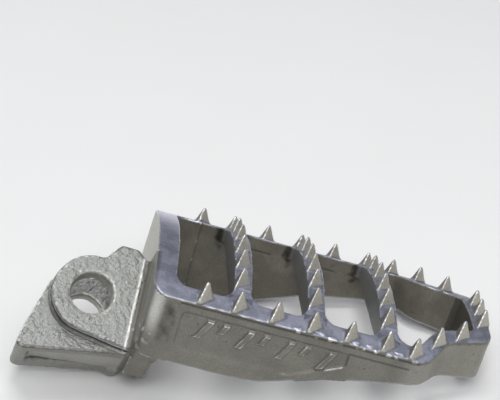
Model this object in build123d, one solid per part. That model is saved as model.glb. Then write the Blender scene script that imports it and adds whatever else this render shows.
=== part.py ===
from build123d import *

import math
import os

# One-piece cast foot peg for an off-road motorcycle, divided into its named sections.
#
# The peg is drawn in its platform frame: X runs from the first tooth towards the tip, Y across the
# peg, Z up, and Z = 0 is level with the points of the rail teeth. It is then moved so that the row's
# origin is the middle of the pivot bore. The sections of the casting meet face to face.
# All lengths are in millimetres and all angles in degrees.

# Platform outline
RAIL_OUTER_Y = 25.8
WALL = 4.4
END_OUTER_X = -12.3
END_INNER_X = -6.9
SHOULDER_X = 55.6
NECK_X, NECK_Y = 61.5, 17.2
TIP_X, TIP_Y = 73.2, 12.7
END_CORNER_R = 4.5
SHOULDER_R = 5.0
NECK_R = 6.0
TIP_CORNER_R = 4.0
CELL_CORNER_R = 3.5
CELL_SHOULDER_R = 2.4
CELL_NECK_R = 8.0
CELL_TIP_R = 2.5

# Cross bars
BAR_COUNT = 3
FIRST_BAR_X = 9.2
BAR_PITCH = 18.45
BAR_WIDTH = 4.4
BAR_BOTTOM_Z = -6.0

# Crowned top: the lands and the tooth points each lie on a cylinder along X
LAND_TOP_Z = 1.35
LAND_R = 61.0
POINT_TOP_Z = 4.85
POINT_R = 60.0

# Underside of the platform: deep at the mount and shallow at the tip, deepest on the rear wall
DEEP_Z = -20.9
DEEP_END_X = 17.2
REAR_DEEP_Z = -23.7
REAR_DEEP_END_X = 12.4
REAR_SIDE_Y = 17.9
MIDDLE_X, MIDDLE_Z = 33.0, -15.2
SHALLOW_X, SHALLOW_Z = 55.5, -10.8
UNDERSIDE_BEND_R = 30.0
REAR_BEND_R = 8.0

# Teeth: four-sided pyramids, set slantwise; corners are given about the point, at land level
TOOTH_CORNERS = ((-1.2, -2.5), (2.8, 0.1), (1.3, 2.7), (-1.45, 0.95))
TOOTH_POINT_SCALE = 0.14
TOOTH_ROOT = 2.5
TOOTH_OFF_BAR = 0.8
TOOTH_PITCH_Y = 7.85
BAR_TOOTH_COUNT = 5
RAIL_TOOTH_Y = 23.5
RAIL_TOOTH_X = (0.0, 8.4, 17.6, 26.8, 36.0, 45.2, 52.3)
TIP_TEETH = ((58.35, 18.1), (64.7, 13.5), (71.0, 5.9))
TIP_MIDDLE_TOOTH = (71.0, 0.0)

# Clevis: the pivot in the platform frame, and the tilt of the pivot from upright
PIVOT = (-24.6, -7.9, -20.4)
PIVOT_TILT = 46.3
BORE_R = 5.05
CLEVIS_HALF = 11.0
BORE_MOUTH = ((CLEVIS_HALF - 0.4, BORE_R), (CLEVIS_HALF + 0.1, BORE_R + 0.5))
UPPER_EAR_T = 6.0
LOWER_EAR_T = -6.8
NOSE_R = 9.5
LOWER_NOSE_R = 10.0
SPRING_SPACE_R = 9.2
EAR_END_U = 14.5
EAR_LOW_EDGE = ((-1.7, -9.35), (10.9, -11.4))
EAR_HIGH_EDGE = ((0.6, 9.48), (10.9, 11.5))
EAR_FILLET_R = 1.5
LUG = ((1.3, 8.0), (1.3, 9.5), (4.4, 13.8), (8.8, 13.8), (11.0, 11.5), (11.0, 8.0))
LUG_CORNER_R = 1.3

# Heel between the ears, with a pocket in its front
HEEL_START = (-9.7, 2.5)
HEEL_BULGE = (-12.45, -6.3)
HEEL_TOE = (-14.8, -16.0)
HEEL_FRONT_END = (10.0, -11.4)
HEEL_TOE_R = 1.4
LOWER_EAR_TAIL = ((0.7, 9.97), (10.9, 11.5), (14.5, 11.5), (14.5, -10.4), (0, -10.4))
LOWER_EAR_FOOT = ((7.0, -11.6), (10.4, -12.6), (11.8, -12.0), (12.3, -10.5), (7.0, -10.5))
HEEL_PLATE_T = 2.0
HEEL_END_U = -10.9
HEEL_BACK_V = -11.4

# Web under the end wall, in pivot coordinates for its outline and platform coordinates for its face
WEB_OUTLINE = ((-11.4, 11.6), (-14.0, -0.3), (-10.7, -11.0), (11.8, -11.0), (11.8, 11.6))
WEB_FOOT_X = -7.4
WEB_HEAD_X = -6.1
WEB_GUSSET = 2.4
WEB_FOOT_Z = -36.0

# Front wall: shallow panel and a row of raised slanted dashes
PANEL_DEPTH = 0.5
PANEL_OUTLINE = ((-3.9, -7.0), (37.0, -7.0), (37.0, -10.2), (24.0, -16.4), (-3.9, -16.8))
PANEL_CORNER_R = 1.0
DASH_COUNT = 7
DASH_START_X = 0.2
DASH_PITCH = 5.0
DASH_WIDTH = 1.5
DASH_SLANT = 2.4
DASH_TOP_Z = -8.0
DASH_LONG = 4.8
DASH_SHORT = 2.6
DASH_HEIGHT = 0.6

# Where one named section ends and the next begins
END_SECTION_X = END_INNER_X + CELL_CORNER_R
RAIL_INNER_Y = RAIL_OUTER_Y - WALL
BAR_SPLIT_X = FIRST_BAR_X + BAR_PITCH / 2
TIP_SECTION_X = FIRST_BAR_X + (BAR_COUNT - 1) * BAR_PITCH + BAR_WIDTH / 2 + CELL_CORNER_R
LUG_SPLIT = ((1.3, 9.5), (11.0, 11.5))
REACH = 150.0


def polygon(points):
    return make_face(Polyline(*points, close=True))


def mirrored(points):
    return [*points, *[(x, -y) for x, y in reversed(points)]]


def rounded(face, radii):
    """Fillet the face's corner nearest each point with that point's radius."""
    for point, radius in radii:
        corner = face.vertices().sort_by_distance((*point, 0))[0]
        face = fillet(corner, radius)
    return face


def both_sides(point, radius):
    x, y = point
    return [((x, y), radius), ((x, -y), radius)]


def upright(face):
    """Prism that runs past the top and the bottom of the peg."""
    return extrude(Pos(0, 0, -REACH) * face, amount=2 * REACH)


def between_x(low, high):
    return Pos((low + high) / 2, 0, 0) * Box(high - low, 2 * REACH, 2 * REACH)


def between_z(low, high):
    return Pos(0, 0, (low + high) / 2) * Box(2 * REACH, 2 * REACH, high - low)


def beyond_y(inner, side):
    """Everything further than inner from the middle plane, on one side (+1 or -1)."""
    return Pos(0, side * (inner + REACH / 2), 0) * Box(2 * REACH, REACH, 2 * REACH)


def crown(top_z, radius):
    return Pos(0, 0, top_z - radius) * Rot(0, 90, 0) * Cylinder(radius, 2 * REACH)


def bar_x(index):
    return FIRST_BAR_X + index * BAR_PITCH


# ---------------------------------------------------------------- platform

outline_corners = [
    (END_OUTER_X, RAIL_OUTER_Y),
    (SHOULDER_X, RAIL_OUTER_Y),
    (NECK_X, NECK_Y),
    (TIP_X, TIP_Y),
]
sharp_outline = polygon(mirrored(outline_corners))
outline_radii = []
for corner, radius in zip(outline_corners, (END_CORNER_R, SHOULDER_R, NECK_R, TIP_CORNER_R)):
    outline_radii += both_sides(corner, radius)
outline = rounded(sharp_outline, outline_radii)

sharp_inside = offset(sharp_outline, amount=-WALL, kind=Kind.INTERSECTION)
cell_edges = [END_INNER_X]
for index in range(BAR_COUNT):
    cell_edges += [bar_x(index) - BAR_WIDTH / 2, bar_x(index) + BAR_WIDTH / 2]
cell_edges.append(TIP_X)


def cell_face(low, high):
    """Plan of one opening: the inside of the rails between two values of X."""
    band = Pos((low + high) / 2, 0) * Rectangle(high - low, 2 * REACH)
    face = sharp_inside & band
    for x in (low, high):
        if x < TIP_X:
            face = rounded(face, both_sides((x, RAIL_INNER_Y), CELL_CORNER_R))
    if high == TIP_X:
        face = rounded(face, both_sides((SHOULDER_X, RAIL_INNER_Y), CELL_SHOULDER_R))
        face = rounded(face, both_sides((NECK_X, NECK_Y - WALL), CELL_NECK_R))
        face = rounded(face, both_sides((TIP_X, TIP_Y - WALL), CELL_TIP_R))
    return face


cells = [cell_face(low, high) for low, high in zip(cell_edges[::2], cell_edges[1::2])]

under_bars = rounded(
    sharp_inside & (Pos((END_INNER_X + TIP_X) / 2, 0) * Rectangle(TIP_X - END_INNER_X, 2 * REACH)),
    [
        *both_sides((END_INNER_X, RAIL_INNER_Y), CELL_CORNER_R),
        *both_sides((SHOULDER_X, RAIL_INNER_Y), CELL_SHOULDER_R),
        *both_sides((NECK_X, NECK_Y - WALL), CELL_NECK_R),
        *both_sides((TIP_X, TIP_Y - WALL), CELL_TIP_R),
    ],
)


def side_prism(deep_end_x, deep_z, bend_r):
    """Everything above the underside, for one depth at the mount end."""
    profile = polygon(
        [
            (END_OUTER_X, deep_z),
            (deep_end_x, deep_z),
            (MIDDLE_X, MIDDLE_Z),
            (SHALLOW_X, SHALLOW_Z),
            (TIP_X, SHALLOW_Z),
            (TIP_X, REACH),
            (END_OUTER_X, REACH),
        ]
    )
    radii = [
        ((deep_end_x, deep_z), bend_r),
        ((MIDDLE_X, MIDDLE_Z), UNDERSIDE_BEND_R),
        ((SHALLOW_X, SHALLOW_Z), UNDERSIDE_BEND_R),
    ]
    return extrude(Plane.XZ.offset(-REACH) * rounded(profile, radii), amount=2 * REACH)


front_side = side_prism(DEEP_END_X, DEEP_Z, UNDERSIDE_BEND_R) - beyond_y(REAR_SIDE_Y, 1)
rear_side = side_prism(REAR_DEEP_END_X, REAR_DEEP_Z, REAR_BEND_R) & beyond_y(REAR_SIDE_Y, 1)

platform = upright(outline) & (front_side + rear_side) & crown(LAND_TOP_Z, LAND_R)
platform -= upright(under_bars) & between_z(-REACH, BAR_BOTTOM_Z)
for cell in cells:
    platform -= upright(cell)
end_wedge = polygon([(END_INNER_X, BAR_BOTTOM_Z), (WEB_HEAD_X, DEEP_Z), (END_INNER_X, DEEP_Z)])
platform += extrude(Plane.XZ.offset(-REAR_SIDE_Y) * end_wedge, amount=2 * REAR_SIDE_Y)

# ---------------------------------------------------------------- clevis

tilt = math.radians(PIVOT_TILT)
pivot_axis = (0, -math.sin(tilt), math.cos(tilt))
pivot_plane = Plane(origin=PIVOT, x_dir=(1, 0, 0), z_dir=pivot_axis)
upslope = (0, math.cos(tilt), math.sin(tilt))
web_plane = Plane(origin=PIVOT, x_dir=upslope, z_dir=(1, 0, 0))
upslope_plane = Plane(origin=PIVOT, x_dir=(0, -math.sin(tilt), math.cos(tilt)), z_dir=upslope)


def along_pivot(face, low, high):
    """Prism along the pivot axis between two distances from the middle of the clevis."""
    return extrude(pivot_plane.offset(low) * face, amount=high - low)


corner_u = END_OUTER_X - PIVOT[0]
ear_tail = polygon(
    [
        EAR_LOW_EDGE[0],
        EAR_LOW_EDGE[1],
        (EAR_END_U, EAR_LOW_EDGE[1][1]),
        (EAR_END_U, EAR_HIGH_EDGE[1][1]),
        EAR_HIGH_EDGE[1],
        EAR_HIGH_EDGE[0],
    ]
)
upper_ear_face = Circle(NOSE_R) + ear_tail
lug_face = rounded(polygon(LUG), [(LUG[2], LUG_CORNER_R), (LUG[3], LUG_CORNER_R)])

heel_face = make_face(
    [
        ThreePointArc(HEEL_START, HEEL_BULGE, HEEL_TOE),
        Polyline(HEEL_TOE, HEEL_FRONT_END, (corner_u, HEEL_FRONT_END[1]), (corner_u, 0), HEEL_START),
    ]
)
heel_face = rounded(heel_face, [(HEEL_TOE, HEEL_TOE_R)])
lower_ear_face = heel_face + Circle(LOWER_NOSE_R) + polygon(LOWER_EAR_FOOT) + polygon(LOWER_EAR_TAIL)

pocket_face = polygon(
    [
        (HEEL_END_U, HEEL_BACK_V),
        (HEEL_FRONT_END[0], HEEL_BACK_V),
        (HEEL_FRONT_END[0], HEEL_TOE[1] - WALL),
        (HEEL_END_U, HEEL_TOE[1] - WALL),
    ]
)

web_profile = polygon(
    [
        (END_OUTER_X, WEB_FOOT_Z),
        (WEB_FOOT_X, WEB_FOOT_Z),
        (WEB_HEAD_X, DEEP_Z),
        (WEB_HEAD_X, LAND_TOP_Z),
        (END_OUTER_X, LAND_TOP_Z),
    ]
)
web_prism = extrude(web_plane * polygon(WEB_OUTLINE), amount=REACH, both=True)
web = web_prism & extrude(Plane.XZ.offset(-REACH) * web_profile, amount=2 * REACH)
web &= upright(outline) & between_z(-REACH, DEEP_Z)
gusset_face = polygon(
    [
        (WEB_HEAD_X - WEB_GUSSET / 2, DEEP_Z),
        (WEB_HEAD_X + WEB_GUSSET, DEEP_Z),
        (WEB_HEAD_X + WEB_GUSSET, DEEP_Z - WEB_GUSSET),
        (WEB_HEAD_X - WEB_GUSSET / 2, DEEP_Z - WEB_GUSSET),
    ]
) - Pos(WEB_HEAD_X + WEB_GUSSET, DEEP_Z - WEB_GUSSET) * Circle(WEB_GUSSET)
gusset = extrude(Plane.XZ.offset(-REACH) * gusset_face, amount=2 * REACH)
gusset &= web_prism & beyond_y(RAIL_INNER_Y, -1)

upper_ear = along_pivot(upper_ear_face + lug_face, UPPER_EAR_T, CLEVIS_HALF)
lower_ear = along_pivot(lower_ear_face, -CLEVIS_HALF, LOWER_EAR_T)
heel = along_pivot(heel_face - Circle(SPRING_SPACE_R), LOWER_EAR_T, UPPER_EAR_T)
heel -= along_pivot(pocket_face, LOWER_EAR_T, HEEL_PLATE_T)

fillet_face = polygon(
    [
        (CLEVIS_HALF, corner_u - EAR_FILLET_R),
        (CLEVIS_HALF + EAR_FILLET_R, corner_u - EAR_FILLET_R),
        (CLEVIS_HALF + EAR_FILLET_R, EAR_END_U),
        (CLEVIS_HALF, EAR_END_U),
    ]
) - Pos(CLEVIS_HALF + EAR_FILLET_R, corner_u - EAR_FILLET_R) * Circle(EAR_FILLET_R)
fillet_low_v = EAR_LOW_EDGE[1][1]
fillet_high_v = EAR_HIGH_EDGE[1][1]
ear_fillet = extrude(upslope_plane.offset(fillet_low_v) * fillet_face, amount=fillet_high_v - fillet_low_v)

bore = along_pivot(Circle(BORE_R), -REACH, REACH)
bore_mouth = loft([pivot_plane.offset(t) * Circle(r) for t, r in BORE_MOUTH])

# ---------------------------------------------------------------- front wall panel

front_plane = Plane(origin=(0, -RAIL_OUTER_Y, 0), x_dir=(1, 0, 0), z_dir=(0, -1, 0))
panel_face = rounded(polygon(PANEL_OUTLINE), [(point, PANEL_CORNER_R) for point in PANEL_OUTLINE])
panel = extrude(front_plane.offset(-PANEL_DEPTH) * panel_face, amount=REACH)


def dash(index):
    """One raised dash, every other one short."""
    height = DASH_SHORT if index % 2 else DASH_LONG
    x = DASH_START_X + index * DASH_PITCH
    slant = DASH_SLANT * height / DASH_LONG
    corners = [
        (x + slant, DASH_TOP_Z),
        (x + slant + DASH_WIDTH, DASH_TOP_Z),
        (x + DASH_WIDTH, DASH_TOP_Z - height),
        (x, DASH_TOP_Z - height),
    ]
    return extrude(front_plane.offset(-PANEL_DEPTH) * polygon(corners), amount=DASH_HEIGHT)


# ---------------------------------------------------------------- the whole casting, then its sections

casting = platform + web + gusset + upper_ear + ear_fillet + lower_ear + heel - bore
casting -= bore_mouth
casting -= mirror(bore_mouth, pivot_plane)
casting -= panel

clevis = casting & between_x(-REACH, END_OUTER_X)
upper_ear_section = clevis & along_pivot(Rectangle(REACH, REACH), UPPER_EAR_T, REACH)
lug_zone = along_pivot(polygon([*LUG_SPLIT, (LUG_SPLIT[1][0], REACH), (LUG_SPLIT[0][0], REACH)]), 0, REACH)
heel_section = clevis & along_pivot(Rectangle(REACH, REACH), LOWER_EAR_T, UPPER_EAR_T)
heel_walls = heel_section & along_pivot(Rectangle(REACH, REACH), LOWER_EAR_T, HEEL_PLATE_T)
heel_end_zone = between_x(-REACH, PIVOT[0] + HEEL_END_U)

beside_clevis = casting & between_x(END_OUTER_X, REACH)
under_platform = between_z(-REACH, DEEP_Z) - beyond_y(REAR_SIDE_Y, 1)
rails = beside_clevis & between_x(END_SECTION_X, TIP_SECTION_X)

sections = {
    "upper_ear": upper_ear_section - lug_zone,
    "stop_lug": upper_ear_section & lug_zone,
    "lower_ear": clevis & along_pivot(Rectangle(REACH, REACH), -REACH, LOWER_EAR_T),
    "heel_top_plate": heel_section - heel_walls,
    "heel_end_wall": heel_walls & heel_end_zone,
    "heel_back_wall": heel_walls - heel_end_zone,
    "clevis_web": beside_clevis & under_platform,
    "end_plate": (beside_clevis & between_x(-REACH, END_SECTION_X)) - under_platform,
    "front_rail": rails & beyond_y(RAIL_INNER_Y, -1),
    "rear_rail": rails & beyond_y(RAIL_INNER_Y, 1),
    "tip_hoop": beside_clevis & between_x(TIP_SECTION_X, REACH),
}
bars = rails - beyond_y(RAIL_INNER_Y, -1) - beyond_y(RAIL_INNER_Y, 1)
bar_names = ("cross_bar_inner", "cross_bar_middle", "cross_bar_outer")
for index, name in enumerate(bar_names):
    middle = bar_x(index)
    sections[name] = bars & between_x(middle - BAR_PITCH / 2, middle + BAR_PITCH / 2)

# ---------------------------------------------------------------- teeth

tooth_ground = upright(outline)
for cell in cells:
    tooth_ground -= upright(cell)
tooth_ground -= crown(LAND_TOP_Z, LAND_R)
tooth_height = POINT_TOP_Z - LAND_TOP_Z
root_scale = 1 + (1 - TOOTH_POINT_SCALE) * TOOTH_ROOT / tooth_height
tooth_point = scale(polygon(TOOTH_CORNERS), by=TOOTH_POINT_SCALE)
tooth_root = Pos(0, 0, -tooth_height - TOOTH_ROOT) * scale(polygon(TOOTH_CORNERS), by=root_scale)
tooth_blank = loft([tooth_root.face(), tooth_point.face()], ruled=True)


def tooth(x, y):
    """Pyramid whose point is on the tooth-point cylinder, cut flush with the walls and the land."""
    point_z = POINT_TOP_Z - POINT_R + math.sqrt(POINT_R**2 - y**2)
    return Pos(x, y, point_z) * tooth_blank & tooth_ground


teeth = {
    "front_rail_teeth": [tooth(x, -RAIL_TOOTH_Y) for x in RAIL_TOOTH_X],
    "rear_rail_teeth": [tooth(x, RAIL_TOOTH_Y) for x in RAIL_TOOTH_X],
    "tip_teeth": [tooth(x, side * y) for x, y in TIP_TEETH for side in (-1, 1)] + [tooth(*TIP_MIDDLE_TOOTH)],
}
for index, name in enumerate(bar_names):
    places = [TOOTH_PITCH_Y * (count - BAR_TOOTH_COUNT // 2) for count in range(BAR_TOOTH_COUNT)]
    teeth[f"{name}_teeth"] = [tooth(bar_x(index) - TOOTH_OFF_BAR, y) for y in places]

# ---------------------------------------------------------------- export

nodes = {name: section.solids() for name, section in sections.items()}
for name, group in teeth.items():
    nodes[name] = [solid for piece in group for solid in piece.solids()]
nodes["front_relief"] = [dash(index).solid() for index in range(DASH_COUNT)]

os.makedirs("parts", exist_ok=True)
to_row = Pos(*[-value for value in PIVOT])
for name, solids in nodes.items():
    moved = [to_row * solid for solid in solids]
    shape = moved[0] if len(moved) == 1 else Compound(children=moved)
    shape.label = name
    export_step(shape, f"parts/{name}.step")
    print(name, len(moved), round(sum(solid.volume for solid in moved), 1))
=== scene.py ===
import math

import bmesh
import bpy
import numpy as np
from mathutils import Matrix, Vector


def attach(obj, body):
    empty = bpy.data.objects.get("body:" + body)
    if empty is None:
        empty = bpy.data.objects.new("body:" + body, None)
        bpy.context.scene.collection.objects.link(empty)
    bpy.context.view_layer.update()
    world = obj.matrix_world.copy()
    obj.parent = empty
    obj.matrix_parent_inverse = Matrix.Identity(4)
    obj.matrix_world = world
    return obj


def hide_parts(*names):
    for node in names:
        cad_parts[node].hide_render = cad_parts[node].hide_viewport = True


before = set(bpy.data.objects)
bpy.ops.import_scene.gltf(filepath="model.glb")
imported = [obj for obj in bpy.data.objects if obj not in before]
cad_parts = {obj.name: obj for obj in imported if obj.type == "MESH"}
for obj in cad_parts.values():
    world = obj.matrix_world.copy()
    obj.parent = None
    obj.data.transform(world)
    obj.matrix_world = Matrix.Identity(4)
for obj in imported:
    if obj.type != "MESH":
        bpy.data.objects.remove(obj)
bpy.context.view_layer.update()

# A one-piece cast foot peg. The CAD sections are welded into one skin, its edges are rounded as a
# casting's are, and the skin is then handed back out to one closed piece for each section.
# Places on the peg are given in millimetres in its platform frame: X runs from the first tooth to
# the tip, Y across the peg, Z up.

MM = 0.001
PLATFORM = Vector((24.6, 7.9, 20.4))

# Skin
VOXEL = 0.25
BASE_STEPS = 4
TOOTH_STEPS = 3
PANEL_STEPS = 1
TOOTH_LIFT = 0.7
EAR_STEPS = 12
LUG_STEPS = 32
HEEL_STEPS = 24
UNDERSIDE_STEPS = 40
PANEL_FOOT_STEPS = 40

# Sizes of the CAD
RAIL_OUTER_Y = 25.8
RAIL_INNER_Y = 21.4
END_OUTER_X = -12.3
END_INNER_X = -6.9
END_SECTION_X = -3.4
TIP_SECTION_X = 49.7
BAR_X = (9.2, 27.65, 46.1)
BAR_HALF = 2.2
BAR_NAMES = ("cross_bar_inner", "cross_bar_middle", "cross_bar_outer")
CROWN_Z, CROWN_R = 1.35, 61.0
WEB_TOP_Z = -20.9
PIVOT = Vector((-24.6, -7.9, -20.4))
TILT = math.radians(46.3)
DASH_COUNT = 7

# Section limits lie this far off the faces they follow, so that each cut crosses the metal
OFF_FACE = 0.9


# ---------------------------------------------------------------- skin

def welded_skin():
    """The outer skin of all the sections together, as vertex and face arrays in millimetres."""
    joined = bmesh.new()
    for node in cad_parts.values():
        joined.from_mesh(node.data)
    mesh = bpy.data.meshes.new("skin_source")
    joined.to_mesh(mesh)
    joined.free()
    source = bpy.data.objects.new("skin_source", mesh)
    bpy.context.scene.collection.objects.link(source)
    remesh = source.modifiers.new("weld", "REMESH")
    remesh.mode = "VOXEL"
    remesh.voxel_size = VOXEL * MM
    depsgraph = bpy.context.evaluated_depsgraph_get()
    skin = bpy.data.meshes.new_from_object(source.evaluated_get(depsgraph))
    bpy.data.objects.remove(source)
    bpy.data.meshes.remove(mesh)
    points = np.empty(len(skin.vertices) * 3)
    skin.vertices.foreach_get("co", points)
    corners = np.empty(len(skin.loops), dtype=np.int64)
    skin.loops.foreach_get("vertex_index", corners)
    starts = np.empty(len(skin.polygons), dtype=np.int64)
    skin.polygons.foreach_get("loop_start", starts)
    totals = np.empty(len(skin.polygons), dtype=np.int64)
    skin.polygons.foreach_get("loop_total", totals)
    assert (totals == 4).all()
    bpy.data.meshes.remove(skin)
    return points.reshape(-1, 3) / MM - np.array(PLATFORM), corners.reshape(-1, 4)


def vertex_normals(points, faces):
    across = np.cross(points[faces[:, 2]] - points[faces[:, 0]], points[faces[:, 3]] - points[faces[:, 1]])
    normals = np.zeros_like(points)
    for axis in range(3):
        for corner in range(4):
            normals[:, axis] += np.bincount(faces[:, corner], across[:, axis], len(points))
    return normals / np.maximum(np.linalg.norm(normals, axis=1, keepdims=True), 1e-12)


class Neighbours:
    """Averages a value over the neighbours of every vertex."""

    def __init__(self, faces, count):
        edges = np.concatenate([faces[:, (a, (a + 1) % 4)] for a in range(4)])
        edges = np.unique(np.sort(edges, axis=1), axis=0)
        self.a = np.concatenate((edges[:, 0], edges[:, 1]))
        self.b = np.concatenate((edges[:, 1], edges[:, 0]))
        self.count = count
        self.valence = np.bincount(self.a, minlength=count)

    def mean(self, values):
        if values.ndim == 1:
            return np.bincount(self.a, values[self.b], self.count) / self.valence
        return np.stack([self.mean(values[:, axis]) for axis in range(values.shape[1])], axis=1)


def crown_z(y):
    return CROWN_Z - CROWN_R + np.sqrt(CROWN_R**2 - y**2)


def step(low, high, values):
    t = np.clip((values - low) / (high - low), 0, 1)
    return t * t * (3 - 2 * t)


def line(distance, half_width):
    """1 on a line, falling to 0 at half_width from it."""
    return 1 - step(0, half_width, np.abs(distance))


def within(low, high, values, edge=0.3):
    return step(low - edge, low + edge, values) * step(high + edge, high - edge, values)


def waves(places, length, seed, count=28):
    """Smooth random height, about -1 to 1, with features of roughly the given length."""
    random = np.random.default_rng(seed)
    height = np.zeros(len(places))
    for _ in range(count):
        direction = random.normal(size=3)
        direction *= random.uniform(0.6, 1.6) * 2 * math.pi / (length * np.linalg.norm(direction))
        height += np.sin(places @ direction + random.uniform(0, 2 * math.pi))
    return height / math.sqrt(count / 2) / 2


points, faces = welded_skin()
neighbours = Neighbours(faces, len(points))
normals = vertex_normals(points, faces)
x, y, z = points.T
AXIS_T = np.array((0, -math.sin(TILT), math.cos(TILT)))
AXIS_V = np.array((0, math.cos(TILT), math.sin(TILT)))
pivot_t = (points - np.array(PIVOT)) @ AXIS_T
pivot_v = (points - np.array(PIVOT)) @ AXIS_V
x, y, z = points.T.copy()
on_tooth = step(-0.4, 0.3, z - crown_z(y)) * (x > END_OUTER_X - 1)
on_clevis = step(0.5, -0.5, x - END_OUTER_X + 1.0)
on_heel = on_clevis * (pivot_t < 5.5)
on_panel = (y < -24.8) & (x > -5) & (x < 38.5) & (z < -6) & (z > -17.5)
underside = ((normals[:, 2] < -0.5) & (on_clevis < 0.5) & (z > -24.5)).astype(float)
underside *= (y > -25.0) | (z < -9.5) & ~on_panel
underside *= (x > -4) | (y > 12)
for _ in range(6):
    underside = neighbours.mean(underside)
underside = step(0.02, 0.25, underside)
steps_here = BASE_STEPS + (EAR_STEPS - BASE_STEPS) * on_clevis
steps_here = steps_here + (HEEL_STEPS - steps_here) * on_heel
steps_here = steps_here + (LUG_STEPS - steps_here) * on_clevis * (pivot_v > 11.8) * (x < -14.0)
steps_here = steps_here + (UNDERSIDE_STEPS - steps_here) * underside
steps_here = steps_here + (TOOTH_STEPS - steps_here) * on_tooth
steps_here = np.where(on_panel, PANEL_STEPS, steps_here)
panel_foot = (y < -24.8) & (x > -5) & (x < 23) & (z < -15.3) & (z > -17.8)
steps_here = np.where(panel_foot, PANEL_FOOT_STEPS, steps_here)
for _ in range(2):
    steps_here = neighbours.mean(steps_here)
points[:, 2] += TOOTH_LIFT * step(0.8, 3.2, z - crown_z(y)) * (x > END_OUTER_X)
for count in range(int(steps_here.max()) + 1):
    weight = np.clip(steps_here - count, 0, 1)[:, None] * 0.5
    points = points + weight * (neighbours.mean(points) - points)

# ---------------------------------------------------------------- casting marks, painted highlights and painted shade

x, y, z = points.T
normals = vertex_normals(points, faces)
to_pivot = points - np.array(PIVOT)
pivot_t, pivot_v, pivot_u = to_pivot @ AXIS_T, to_pivot @ AXIS_V, to_pivot[:, 0]
below_land = crown_z(y) - z
on_front = step(-0.5, -0.8, normals[:, 1]) * (y < -24.3) * (x > END_OUTER_X + 1) * (x < 56)
on_back_inside = step(-0.5, -0.8, normals[:, 1]) * (y > 19.5) * (y < 22.5) * (x > END_INNER_X)
on_ear_side = on_clevis * (pivot_t > 5.6) * (pivot_t < 11.2) * step(0.6, 0.4, np.abs(normals @ AXIS_T))
on_ear_side = on_ear_side * (np.hypot(pivot_u, pivot_v) > 7.5)
fine_waves = waves(points, 1.3, 11)
coarse_waves = waves(points, 6.0, 12)
lump_waves = waves(points, 2.2, 13)

rim = on_front * line(below_land - 0.75, 0.5) * within(-5, 54, x)
ledge = on_front * line(z + 7.0, 0.4) * within(37.0, 52.0, x)
slope_line = on_front * line((z + 16.4) - (x - 24) * 6.2 / 13, 0.45) * within(24, 37, x)
side_line = on_front * line(x - 37.0, 0.4) * within(-10.2, -7.0, z)
parting = on_ear_side * line(pivot_t - 8.4, 0.75)
lower_tier = on_ear_side * step(8.6, 8.2, pivot_t)
# Ear's root: pushed in a little, and darkened as painted shade in its fillet
ear_root = (pivot_t > 8) * step(1.7, 0.7, np.abs(x + 12.6)) * (pivot_v < 12.5)
# Painted highlight lines on the side wall of the ear's two tiers
tier_highlight = on_ear_side * np.maximum(line(pivot_t - 9.6, 0.5), 0.9 * line(pivot_t - 7.1, 0.55))
tier_highlight *= step(-0.2, -0.5, normals @ AXIS_V)
heel_edge = on_clevis * line(pivot_t - 5.55, 0.55) * (pivot_v < -9.5) * step(0.97, 0.85, normals @ AXIS_T)
heel_edge *= step(-0.1, -0.4, normals @ AXIS_V) * (0.75 + 0.35 * lump_waves)
heel_front = on_clevis * (pivot_t < 6.4) * (pivot_v < -8.5) * step(0.0, -0.3, normals @ AXIS_V)
pocket = on_clevis * within(-6.5, 1.9, pivot_t) * step(-13.2, -12.0, pivot_v) * (pivot_v < -10.7)
pocket *= step(-11.5, -10.9, pivot_u)
# Painted reflection: the end plate's outer face is made paler
end_face_reflection = step(-0.5, -0.8, normals[:, 0]) * within(-12.6, -11.8, x) * (1 - on_clevis) * (z > -19)
# Painted shade in the inner corner of the tip hoop
tip_inside_shade = (below_land > 0.4) * (x > 67.5) * (x < 72) * (np.abs(y) < 10.5) * (normals[:, 0] < 0.2)
# A raised line along the ear's edge; it also carries a painted highlight
ear_line = (pivot_t > 10.0) * line(x + 14.1, 0.5) * (pivot_v < 12)
core_line_x = 0.3 - (z + 5.0) * 0.04
core_step = on_back_inside * step(0.15, -0.15, x - core_line_x)
core_line = on_back_inside * line(x - core_line_x, 0.4) * (x < 5)
long_line = on_back_inside * line(z + 6.3, 0.35) * np.maximum(within(12.5, 20.0, x), within(31, 37.5, x))
# Painted shade: dark spots in the corners where the bars meet the inside of the rear wall
bar_corner_shade = np.zeros(len(points))
for middle in BAR_X:
    from_spot = np.hypot((x - middle + 2.9) / 1.9, (z + 4.6) / 3.6) + 0.25 * lump_waves
    bar_corner_shade = np.maximum(bar_corner_shade, on_back_inside * step(1.15, 0.5, from_spot))
mottle = on_front * within(-8.3, -5.2, x, 0.8) * within(-16.0, -5.5, z, 1.5) * (0.6 + 0.4 * lump_waves)
# Lumps on the front edge and the front corner; they also carry painted glints
edge_lumps = (y < -24.6) * within(22, 53, x, 2) * line(below_land - 0.2, 0.9) * step(0.15, 0.5, lump_waves)
corner_lumps = (y < -20) * (x < -9.5) * within(-17.5, -13.5, z, 1) * step(0.35, 0.8, lump_waves) * (1 - on_clevis)
smooth_zone = np.clip(step(0.5, 0.9, normals[:, 2]) * (below_land < 1) * (1 - on_clevis) + on_tooth, 0, 1)

# Painted highlight down the front wall near its left corner
corner_highlight = line(x + 10.3, 2.4) * step(-0.3, -0.6, normals[:, 1]) * (y < -21) * (1 - on_clevis)
corner_highlight *= step(-17.0, -9.0, z) * (below_land > 0.5)
# Painted light: the bores are made paler
bore_painted_light = 0.9 * on_clevis * (np.hypot(pivot_u, pivot_v) < 5.6)
# Painted light: the tip's front faces are made paler
tip_painted_light = 0.28 * step(48.0, 54.0, x) * (y < 0) * (below_land > 0.8) * step(-0.2, -0.5, normals[:, 1])
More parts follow.
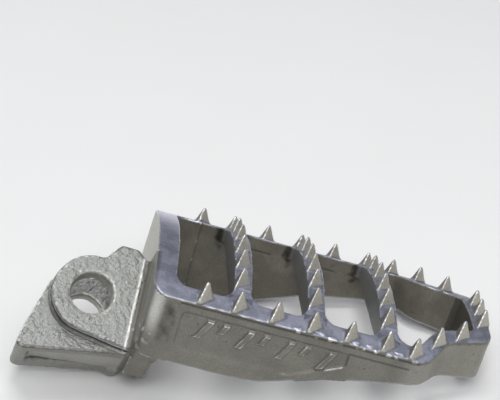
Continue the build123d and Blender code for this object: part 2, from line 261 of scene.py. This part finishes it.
# Painted light: the end plate's land is lightened, more towards the rear
end_land_painted_light = step(-10.0, 22.0, y) * (x < END_INNER_X) * (x > END_OUTER_X) * (below_land < 0.6)
heel_front_v = -16.0 + (pivot_u + 14.8) * 4.6 / 24.8
lit_underside = underside * (1 - on_clevis) * ((z < -8.5) | (np.abs(y) < 17))
# Painted highlight on a facet between the heel and the web
foot_facet_highlight = on_clevis * line(pivot_u - 11.6, 0.9) * (pivot_v < -10.5) * (pivot_t < 5)
bar_row = np.mod(y + 7.85 * 3 + 2.4, 7.85)
on_bar_land = (below_land < 0.35) * (np.abs(y) < 20.5) * (normals[:, 2] > 0.4) * (1 - on_tooth)
on_bar_land *= np.maximum.reduce([line(x - middle, 2.6) > 0 for middle in BAR_X])
# Painted highlight line at the step in each bar's land
bar_step_highlight = on_bar_land * line(bar_row - 0.15, 0.4)

push = 0.05 * coarse_waves * (1 - smooth_zone)
pocket_fill = 0.6 * pocket * np.maximum(-11.4 - heel_front_v, 0)
push += 0.22 * on_bar_land * (1 - bar_row / 7.85)
push += 0.05 * fine_waves * on_clevis
push -= 0.16 * rim + 0.14 * ledge + 0.12 * slope_line + 0.1 * side_line
push += 0.26 * lower_tier - 0.3 * parting - 0.12 * ear_root + 0.12 * ear_line
push += 0.2 * core_step - 0.12 * long_line
push += 0.16 * edge_lumps + 0.16 * corner_lumps - 0.16 * mottle
points = points + push[:, None] * normals - pocket_fill[:, None] * AXIS_V
normals = vertex_normals(points, faces)
bend = ((points - neighbours.mean(points)) * normals).sum(axis=1) / VOXEL
for _ in range(2):
    bend = 0.5 * bend + 0.5 * neighbours.mean(bend)

land = step(-0.9, -0.35, -below_land) * (x > END_OUTER_X - 0.6) * step(0.25, 0.6, normals[:, 2])
inside_wall = (
    (x > END_INNER_X - 0.8) * (x < 71.5) * step(0.4, 0.8, below_land) * (y < 22.5) * (y > -22.5) * (z > -30)
)
bar = np.zeros(len(points))
for middle in BAR_X:
    bar = np.maximum(bar, step(3.6, 2.6, np.abs(x - middle)) * step(21.0, 19.0, np.abs(y)) * (z > -7))
on_dashes = (y < -24.9) & (z < -7.7) & (z > -13.1) & (x > -0.5) & (x < 36.5)
panel_edge = on_panel & ~on_dashes
# How much each place's convex edges are lightened, for wear and as painted edge highlights
wear_and_highlight_here = (1 + 0.8 * on_clevis + 0.4 * on_tooth + 0.6 * on_dashes - 0.7 * panel_edge) * (1 - 0.85 * heel_front)
wear_and_highlight_here *= (1 - 0.8 * ear_root) * (0.8 + 0.4 * lump_waves)
VALUE_MARKS = {
    # Convex edges lightened: partly wear, partly painted edge highlight
    "wear_and_edge_highlight": step(0.035, 0.16, bend * wear_and_highlight_here),
    # Painted shade in concave creases
    "crease_shade": step(0.04, 0.25, -bend),
    "land": land,
    # Inside walls: a little darker than the outside, as painted shade
    "inside_shaded": inside_wall * (1 - land),
    "bar": bar * (1 - land),
    "clevis": on_clevis * (1 - 0.6 * heel_front),
    # Teeth's front faces: cast tone, lightened as painted light on the faces turned to the light
    "tooth": step(0.1, 0.5, -below_land) * (x > END_OUTER_X) * step(0.1, 0.4, -normals[:, 1]),
    # Lit undersides: tumbled finish, lightened as a painted reflection of the floor
    "underside": lit_underside,
    # Dark casting lines, plus painted shade at the ear's root, inside the tip hoop and in the bar corners
    "dark_lines_and_shade": np.clip(
        0.75 * rim + 0.6 * ledge + 0.5 * slope_line + 0.45 * side_line + 1.0 * parting + 0.45 * ear_root
        + 0.9 * heel_edge + 0.55 * tip_inside_shade
        + 0.5 * core_line + 0.7 * long_line + 0.85 * bar_corner_shade + 0.6 * mottle, 0, 1,
    ),
    # Painted highlights and reflections: the ear's edge line, glints on lumps, lines on the ear's tiers and bar
    # steps, the end land, the rear undersides, the front corner and a facet at the heel's foot
    "painted_highlight": np.clip(
        ear_line + 0.8 * edge_lumps + 0.6 * corner_lumps + 0.9 * tier_highlight + 0.7 * bar_step_highlight
        + 0.95 * end_land_painted_light + 0.6 * lit_underside * (y > 19) + 0.45 * corner_highlight + 0.6 * foot_facet_highlight, 0, 1,
    ),
    # Painted light: the pocket, heel front, end face, front corner, bores and tip made paler
    "painted_light": np.clip(0.4 * pocket + 0.15 * heel_front + 0.85 * end_face_reflection + corner_highlight + bore_painted_light + tip_painted_light, 0, 1),
}

# ---------------------------------------------------------------- one closed piece for each section

SECTION_NAMES = list(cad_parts)
UP, ACROSS, ALONG = np.array((0, 0, 1.0)), np.array((0, 1.0, 0)), np.array((1.0, 0, 0))
for axis, key in enumerate(("normal_x", "normal_y", "normal_z")):
    VALUE_MARKS[key] = normals[:, axis]


def skin_shape():
    mesh = bpy.data.meshes.new("skin")
    mesh.from_pydata(points.tolist(), [], faces.tolist())
    for key, values in VALUE_MARKS.items():
        mesh.attributes.new(key, "FLOAT", "POINT").data.foreach_set("value", values.astype(np.float32))
    mesh.attributes.new("cap", "INT", "FACE")
    shape = bmesh.new()
    shape.from_mesh(mesh)
    bpy.data.meshes.remove(mesh)
    return shape


def close_cuts(shape):
    open_edges = [edge for edge in shape.edges if edge.is_boundary]
    caps = bmesh.ops.holes_fill(shape, edges=open_edges, sides=0)["faces"]
    caps = bmesh.ops.triangulate(shape, faces=caps)["faces"]
    layer = shape.faces.layers.int["cap"]
    for cap in caps:
        cap[layer] = 1


def divide(shape, origin, normal):
    """Cut a closed shape by a plane into the part behind the normal and the part ahead of it."""
    halves = []
    for side in (1, -1):
        half = shape.copy()
        geometry = half.verts[:] + half.edges[:] + half.faces[:]
        bmesh.ops.bisect_plane(
            half, geom=geometry, plane_co=origin, plane_no=normal * side, dist=0.0005, clear_outer=True
        )
        close_cuts(half)
        halves.append(half)
    shape.free()
    return halves


def from_pivot(u, v, t):
    return np.array(PIVOT) + np.array((u, 0, 0)) + v * AXIS_V + t * AXIS_T


shapes = {}
clevis, platform = divide(skin_shape(), ALONG * (END_OUTER_X - OFF_FACE), ALONG)
clevis, ear = divide(clevis, from_pivot(0, 0, 6.0 - OFF_FACE), AXIS_T)
lug_normal = AXIS_V * 9.7 - ALONG * 2.0
shapes["upper_ear"], shapes["stop_lug"] = divide(ear, from_pivot(1.3, 9.5, 0), lug_normal)
shapes["lower_ear"], heel = divide(clevis, from_pivot(0, 0, -6.8 + OFF_FACE), AXIS_T)
heel, shapes["heel_top_plate"] = divide(heel, from_pivot(0, 0, 2.0 - OFF_FACE), AXIS_T)
heel_cut = from_pivot(-10.9 + OFF_FACE, 0, 0)
shapes["heel_end_wall"], shapes["heel_back_wall"] = divide(heel, heel_cut, ALONG)
end, rails = divide(platform, ALONG * END_SECTION_X, ALONG)
shapes["clevis_web"], shapes["end_plate"] = divide(end, UP * (WEB_TOP_Z - OFF_FACE), UP)
rails, shapes["tip_hoop"] = divide(rails, ALONG * TIP_SECTION_X, ALONG)
shapes["front_rail"], rails = divide(rails, ACROSS * (1.2 - RAIL_INNER_Y), ACROSS)
rails, shapes["rear_rail"] = divide(rails, ACROSS * (RAIL_INNER_Y - 1.2), ACROSS)
for name, low_x in zip(BAR_NAMES[:2], BAR_X[:2]):
    shapes[name], rails = divide(rails, ALONG * (low_x + 9.225), ALONG)
shapes[BAR_NAMES[2]] = rails

rail_teeth_x = (0, 8.4, 17.6, 26.8, 36.0, 45.2, 52.3)
teeth_of = {
    "front_rail_teeth": [(place, -23.5) for place in rail_teeth_x],
    "rear_rail_teeth": [(place, 23.5) for place in rail_teeth_x],
    "tip_teeth": [(a, side * b) for a, b in ((58.35, 18.1), (64.7, 13.5), (71.0, 5.9)) for side in (-1, 1)]
    + [(71.0, 0.0)],
}
for middle, name in zip(BAR_X, BAR_NAMES):
    teeth_of[f"{name}_teeth"] = [(middle - 0.8, 7.85 * row) for row in range(-2, 3)]


def owner(middles, host):
    """Which piece each face of the host section belongs to: a group of teeth, the dashes or the host."""
    fx, fy, fz = middles.T
    above_land = fz - crown_z(fy)
    names = np.full(len(middles), host, dtype="U32")
    for name, places in teeth_of.items():
        for tooth_x, tooth_y in places:
            near = (np.abs(fx - tooth_x - 0.6) < 2.9) & (np.abs(fy - tooth_y) < 3.1)
            names[near & (above_land > -0.15)] = name
    for index in range(DASH_COUNT):
        height = 2.6 if index % 2 else 4.8
        along = fx - (0.2 + index * 5.0) - 2.4 * (fz + 8.0 + height) / 4.8
        near = (along > -0.35) & (along < 1.85) & (fz < -7.7) & (fz > -8.3 - height)
        names[near & (fy < -25.0)] = "front_relief"
    return names


# ---------------------------------------------------------------- each piece's faces

piece_faces = {name: [] for name in SECTION_NAMES}
LAYERS = list(VALUE_MARKS)


def read_mesh(shape):
    """Points, corner lists, cap flags and marks of a shape, and the shape is let go."""
    mesh = bpy.data.meshes.new("part")
    shape.to_mesh(mesh)
    shape.free()
    places = np.empty(len(mesh.vertices) * 3)
    mesh.vertices.foreach_get("co", places)
    corners = np.empty(len(mesh.loops), dtype=np.int64)
    mesh.loops.foreach_get("vertex_index", corners)
    starts = np.empty(len(mesh.polygons), dtype=np.int64)
    mesh.polygons.foreach_get("loop_start", starts)
    totals = np.empty(len(mesh.polygons), dtype=np.int64)
    mesh.polygons.foreach_get("loop_total", totals)
    caps = np.empty(len(mesh.polygons), dtype=np.int32)
    mesh.attributes["cap"].data.foreach_get("value", caps)
    values = {}
    for key in LAYERS:
        values[key] = np.empty(len(mesh.vertices), dtype=np.float32)
        mesh.attributes[key].data.foreach_get("value", values[key])
    outlines = [corners[start:start + total] for start, total in zip(starts, totals)]
    bpy.data.meshes.remove(mesh)
    return places.reshape(-1, 3), outlines, caps, values


for host, shape in shapes.items():
    places, outlines, caps, values = read_mesh(shape)
    middles = np.array([places[outline].mean(axis=0) for outline in outlines])
    names = np.where(caps == 1, host, owner(middles, host))
    for name in np.unique(names):
        chosen = np.flatnonzero(names == name)
        piece_faces[name].append((places, [outlines[index] for index in chosen], caps[chosen], values))

# ---------------------------------------------------------------- materials


class Nodes:
    """Short calls for building a node tree."""

    def __init__(self, material):
        self.tree = material.node_tree
        self.shader = self.tree.nodes["Principled BSDF"]

    def new(self, kind, **values):
        node = self.tree.nodes.new(kind)
        for key, value in values.items():
            setattr(node, key, value)
        return node

    def link(self, source, target):
        self.tree.links.new(source, target)

    def set(self, socket, value):
        if isinstance(value, bpy.types.NodeSocket):
            self.link(value, socket)
        else:
            socket.default_value = value

    def attribute(self, name):
        return self.new("ShaderNodeAttribute", attribute_name=name).outputs["Fac"]

    def math(self, operation, a, b=0.0, clamp=False):
        node = self.new("ShaderNodeMath", operation=operation, use_clamp=clamp)
        self.set(node.inputs[0], a)
        self.set(node.inputs[1], b)
        return node.outputs[0]

    def ramp(self, value, low, high, to_low=0.0, to_high=1.0):
        node = self.new("ShaderNodeMapRange", interpolation_type="SMOOTHSTEP")
        self.set(node.inputs["Value"], value)
        for key, number in (("From Min", low), ("From Max", high), ("To Min", to_low), ("To Max", to_high)):
            node.inputs[key].default_value = number
        return node.outputs["Result"]

    def mix(self, factor, a, b):
        node = self.new("ShaderNodeMix", data_type="RGBA")
        self.set(node.inputs["Factor"], factor)
        self.set(node.inputs[6], (*a, 1) if isinstance(a, tuple) else a)
        self.set(node.inputs[7], (*b, 1) if isinstance(b, tuple) else b)
        return node.outputs[2]

    def noise(self, per_mm, detail=3.0, rough=0.55, stretch=None):
        coordinates = self.new("ShaderNodeTexCoord").outputs["Object"]
        if stretch:
            mapping = self.new("ShaderNodeMapping")
            mapping.inputs["Scale"].default_value = stretch
            self.link(coordinates, mapping.inputs["Vector"])
            coordinates = mapping.outputs["Vector"]
        node = self.new("ShaderNodeTexNoise")
        self.link(coordinates, node.inputs["Vector"])
        node.inputs["Scale"].default_value = per_mm / MM
        node.inputs["Detail"].default_value = detail
        node.inputs["Roughness"].default_value = rough
        return node.outputs["Fac"]

    def cells(self, per_mm):
        node = self.new("ShaderNodeTexVoronoi")
        self.link(self.new("ShaderNodeTexCoord").outputs["Object"], node.inputs["Vector"])
        node.inputs["Scale"].default_value = per_mm / MM
        return node.outputs["Distance"]


def new_material(name):
    material = bpy.data.materials.new(name)
    material.use_nodes = True
    return material, Nodes(material)


def linear(red, green, blue):
    return tuple((value / 255) ** 2.2 for value in (red, green, blue))


CAST_DARK = linear(121, 119, 112)
CAST_LIGHT = linear(132, 130, 122)
CLEVIS = linear(133, 134, 131)
# Inside walls: the cast tone a little darker, as painted shade
INSIDE_SHADED_DARK = linear(112, 109, 100)
INSIDE_SHADED_LIGHT = linear(126, 123, 113)
BAR_SIDE = linear(142, 142, 144)
# Underside edges: tumbled finish, lightened as a painted reflection of the floor
TUMBLED_UNDERSIDE_AND_FLOOR_REFLECTION = linear(160, 161, 166)
LAND_DARK = linear(136, 139, 152)
LAND_LIGHT = linear(160, 162, 179)
# Teeth's front faces: cast tone lightened as painted light
TOOTH_FRONT_CAST_AND_LIT = linear(190, 187, 175)
# Painted light for faces made paler
PAINTED_LIGHT_TONE = linear(196, 195, 188)
# Dark tone for casting lines and pits, and for painted shade in creases and corners
DIRT_AND_SHADE = linear(52, 50, 46)
# Worn edges and painted highlights, on the cast and on the land
WORN_AND_HIGHLIGHT = linear(228, 228, 224)
WORN_AND_HIGHLIGHT_LAND = linear(226, 226, 246)


def steel_material():
    """Blasted cast steel, bluish where the tumbling polished it, bright on edges rubbed by wear. Painted
    highlights and reflections lighten edges and lit faces, and painted shade darkens creases and corners.
    """
    material, n = new_material("cast_steel")
    crinkle = n.noise(0.95, 3.0, 0.52)
    grain = n.noise(3.2, 2.0, 0.5)
    blotch = n.noise(0.10, 4.0, 0.6)
    pits = n.ramp(n.cells(0.8), 0.10, 0.22, 1.0, 0.0)
    pit = n.math("MULTIPLY", pits, n.ramp(n.noise(0.3, 2.0, 0.5), 0.57, 0.64), clamp=True)
    clevis, inside_shaded, bar = n.attribute("clevis"), n.attribute("inside_shaded"), n.attribute("bar")
    land, tooth, underside = n.attribute("land"), n.attribute("tooth"), n.attribute("underside")

    colour = n.mix(n.ramp(blotch, 0.35, 0.68), CAST_DARK, CAST_LIGHT)
    colour = n.mix(clevis, colour, CLEVIS)
    # painted shade: the inside walls are a little darker
    colour = n.mix(inside_shaded, colour, n.mix(n.ramp(blotch, 0.4, 0.65), INSIDE_SHADED_DARK, INSIDE_SHADED_LIGHT))
    colour = n.mix(bar, colour, BAR_SIDE)
    # painted reflection of the floor on the undersides
    colour = n.mix(underside, colour, TUMBLED_UNDERSIDE_AND_FLOOR_REFLECTION)
    colour = n.mix(land, colour, n.mix(n.ramp(n.noise(0.25, 3.0), 0.4, 0.62), LAND_DARK, LAND_LIGHT))
    # painted light on the teeth's front faces
    colour = n.mix(tooth, colour, TOOTH_FRONT_CAST_AND_LIT)
    # painted light on faces made paler
    colour = n.mix(n.attribute("painted_light"), colour, PAINTED_LIGHT_TONE)
    # painted shade in creases
    colour = n.mix(n.math("MULTIPLY", n.attribute("crease_shade"), 0.55), colour, DIRT_AND_SHADE)
    colour = n.mix(n.math("MULTIPLY", pit, 0.5), colour, DIRT_AND_SHADE)
    # dark casting lines, and painted shade at the ear's root, inside the tip and in the bar corners
    colour = n.mix(n.attribute("dark_lines_and_shade"), colour, DIRT_AND_SHADE)
    # Edges lightened for wear, together with the painted highlights
    worn_and_highlight = n.math("MULTIPLY", n.attribute("wear_and_edge_highlight"), n.ramp(grain, 0.25, 0.5, 0.45, 0.95))
    worn_and_highlight = n.math("MAXIMUM", worn_and_highlight, n.attribute("painted_highlight"), clamp=True)
    worn_and_highlight = n.math("MULTIPLY", worn_and_highlight, n.math("SUBTRACT", 1.0, n.math("MULTIPLY", underside, 0.6)))
    colour = n.mix(n.math("MULTIPLY", worn_and_highlight, 0.8), colour, n.mix(land, WORN_AND_HIGHLIGHT, WORN_AND_HIGHLIGHT_LAND))
    shade = n.ramp(grain, 0.3, 0.7, 0.87, 1.13)
    tint = n.new("ShaderNodeVectorMath", operation="SCALE")
    n.link(colour, tint.inputs[0])
    n.link(shade, tint.inputs["Scale"])
    n.link(tint.outputs[0], n.shader.inputs["Base Color"])
    n.shader.inputs["Metallic"].default_value = 0.75

    smooth = n.math("MAXIMUM", n.math("MAXIMUM", land, bar), underside, clamp=True)
    rough = n.math("SUBTRACT", 0.56, n.math("MULTIPLY", smooth, 0.16))
    rough = n.math("SUBTRACT", rough, n.math("MULTIPLY", n.math("MAXIMUM", worn_and_highlight, clevis), 0.16))
    n.link(n.math("ADD", rough, n.ramp(grain, 0.3, 0.7, -0.04, 0.04)), n.shader.inputs["Roughness"])
    peened = n.math("ADD", 0.08, n.math("MULTIPLY", clevis, 0.18))
    gritty = n.math("ADD", 0.07, n.math("MULTIPLY", n.math("MAXIMUM", clevis, tooth), 0.05))
    height = n.math("ADD", n.math("MULTIPLY", crinkle, peened), n.math("MULTIPLY", grain, gritty))
    height = n.math("SUBTRACT", height, n.math("MULTIPLY", pit, 0.10))
    quiet = n.math("SUBTRACT", 1.0, n.math("MULTIPLY", smooth, 0.75))
    bump = n.new("ShaderNodeBump")
    bump.inputs["Distance"].default_value = 1.0 * MM
    bump.inputs["Strength"].default_value = 1.0
    n.link(n.math("MULTIPLY", height, quiet), bump.inputs["Height"])
    n.link(bump.outputs["Normal"], n.shader.inputs["Normal"])
    return material


steel = steel_material()

# ---------------------------------------------------------------- pieces


def make_piece(name):
    all_places, all_outlines, all_caps, base = [], [], [], 0
    all_values = {key: [] for key in LAYERS}
    for places, outlines, caps, values in piece_faces[name]:
        used, local = np.unique(np.concatenate(outlines), return_inverse=True)
        ends = np.cumsum([len(outline) for outline in outlines])[:-1]
        all_outlines += [part + base for part in np.split(local, ends)]
        all_places.append(places[used])
        all_caps.append(caps)
        for key in LAYERS:
            all_values[key].append(values[key][used])
        base += len(used)
    places = (np.concatenate(all_places) + np.array(PLATFORM)) * MM
    mesh = bpy.data.meshes.new(f"cast_{name}")
    mesh.from_pydata(places.tolist(), [], [outline.tolist() for outline in all_outlines])
    mesh.attributes.new("cap", "INT", "FACE").data.foreach_set("value", np.concatenate(all_caps))
    for key in LAYERS:
        layer = mesh.attributes.new(key, "FLOAT", "POINT")
        layer.data.foreach_set("value", np.concatenate(all_values[key]))
    shape = bmesh.new()
    shape.from_mesh(mesh)
    close_cuts(shape)
    shape.to_mesh(mesh)
    shape.free()
    set_normals(mesh)
    mesh.materials.append(steel)
    piece = bpy.data.objects.new(f"cast_{name}", mesh)
    bpy.context.scene.collection.objects.link(piece)
    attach(piece, "root")
    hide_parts(name)


def set_normals(mesh):
    """Shade the skin as one surface across the pieces, and the cuts flat."""
    skin_normals = np.empty((len(mesh.vertices), 3), dtype=np.float32)
    for axis, key in enumerate(("normal_x", "normal_y", "normal_z")):
        values = np.empty(len(mesh.vertices), dtype=np.float32)
        mesh.attributes[key].data.foreach_get("value", values)
        skin_normals[:, axis] = values
    skin_normals /= np.maximum(np.linalg.norm(skin_normals, axis=1, keepdims=True), 1e-6)
    corners = np.empty(len(mesh.loops), dtype=np.int64)
    mesh.loops.foreach_get("vertex_index", corners)
    corner_normals = skin_normals[corners]
    caps = np.empty(len(mesh.polygons), dtype=np.int32)
    mesh.attributes["cap"].data.foreach_get("value", caps)
    for index in np.flatnonzero(caps):
        polygon = mesh.polygons[index]
        for loop in polygon.loop_indices:
            corner_normals[loop] = polygon.normal
    mesh.polygons.foreach_set("use_smooth", [True] * len(mesh.polygons))
    for key in ("normal_x", "normal_y", "normal_z", "cap"):
        mesh.attributes.remove(mesh.attributes[key])
    mesh.normals_split_custom_set(corner_normals.tolist())


for name in SECTION_NAMES:
    make_piece(name)
    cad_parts[name].data.materials.clear()
    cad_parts[name].data.materials.append(steel)

# ---------------------------------------------------------------- floor

# The way down when the peg lies on its web's foot, its rear wall and its tip
DOWN = Vector((0.247, 0.201, -0.948)).normalized()
SIDE = DOWN.cross(Vector((0, 1, 0))).normalized()
AHEAD = SIDE.cross(DOWN).normalized()
FLOOR_HALF = 3.0


def place(position):
    """Row-frame metres of a place in the platform frame."""
    return (Vector(position) + PLATFORM) * MM


depth = (points @ np.array(DOWN)).max()
floor_middle = place(DOWN * depth)
floor_mesh = bpy.data.meshes.new("floor")
corners = [
    floor_middle + SIDE * a * FLOOR_HALF + AHEAD * b * FLOOR_HALF for a, b in ((-1, -1), (1, -1), (1, 1), (-1, 1))
]
floor_mesh.from_pydata([tuple(corner) for corner in corners], [], [(0, 1, 2, 3)])
floor = bpy.data.objects.new("floor", floor_mesh)
bpy.context.scene.collection.objects.link(floor)
paper, n = new_material("floor_paper")
n.link(n.mix(n.noise(0.02, 2.0), (0.80, 0.80, 0.80), (0.83, 0.83, 0.83)), n.shader.inputs["Base Color"])
n.shader.inputs["Roughness"].default_value = 0.9
floor_mesh.materials.append(paper)

# ---------------------------------------------------------------- camera and light

CAMERA_PLACE = (-51.1, -365.0, 145.6)
CAMERA_AIM = (8.0, 7.3, 11.9)
CAMERA_ROLL = math.radians(18.4)
camera_data = bpy.data.cameras.new("camera")
camera_data.lens = 115.8
camera_data.sensor_width = 36.0
camera_data.clip_end = 20.0
camera = bpy.data.objects.new("camera", camera_data)
bpy.context.scene.collection.objects.link(camera)
towards = place(CAMERA_AIM) - place(CAMERA_PLACE)
turn = towards.to_track_quat("-Z", "Y").to_matrix() @ Matrix.Rotation(CAMERA_ROLL, 3, "Z")
camera.matrix_world = Matrix.Translation(place(CAMERA_PLACE)) @ turn.to_4x4()
bpy.context.scene.camera = camera


# Azimuth is measured from straight ahead of the camera towards its right; power is in watts
SOFT_BOXES = (
    ("camera_side", 180, 50, 4.3),
    ("overhead", 0, 90, 3.4),
    ("behind_left", 315, 50, 0.8),
    ("behind_right", 45, 50, 0.4),
    ("front_right", 135, 50, 1.7),
    ("left", 285, 25, 1.8),
)
LIGHT_REACH = 1.0
LIGHT_SIDE = 0.45


def soft_box(name, azimuth, elevation, power):
    """Square area light that faces the peg."""
    data = bpy.data.lights.new(name, "AREA")
    data.shape = "SQUARE"
    data.size = LIGHT_SIDE
    data.energy = power
    light = bpy.data.objects.new(name, data)
    bpy.context.scene.collection.objects.link(light)
    middle = place((25, 0, -10))
    to_camera = camera.matrix_world.translation - middle
    ahead = -(to_camera - DOWN * to_camera.dot(DOWN)).normalized()
    right = ahead.cross(-DOWN)
    turn, rise = math.radians(azimuth), math.radians(elevation)
    level = math.cos(turn) * ahead + math.sin(turn) * right
    light.location = middle + LIGHT_REACH * (math.cos(rise) * level - math.sin(rise) * DOWN)
    light.rotation_euler = (middle - light.location).to_track_quat("-Z", "Y").to_euler()


for name, azimuth, elevation, power in SOFT_BOXES:
    soft_box(name, azimuth, elevation, power)

world = bpy.data.worlds.new("studio")
bpy.context.scene.world = world
world.use_nodes = True
world.node_tree.nodes["Background"].inputs["Color"].default_value = (0.93, 0.95, 1, 1)
world.node_tree.nodes["Background"].inputs["Strength"].default_value = 0.2
bpy.context.scene.view_settings.view_transform = "Standard"
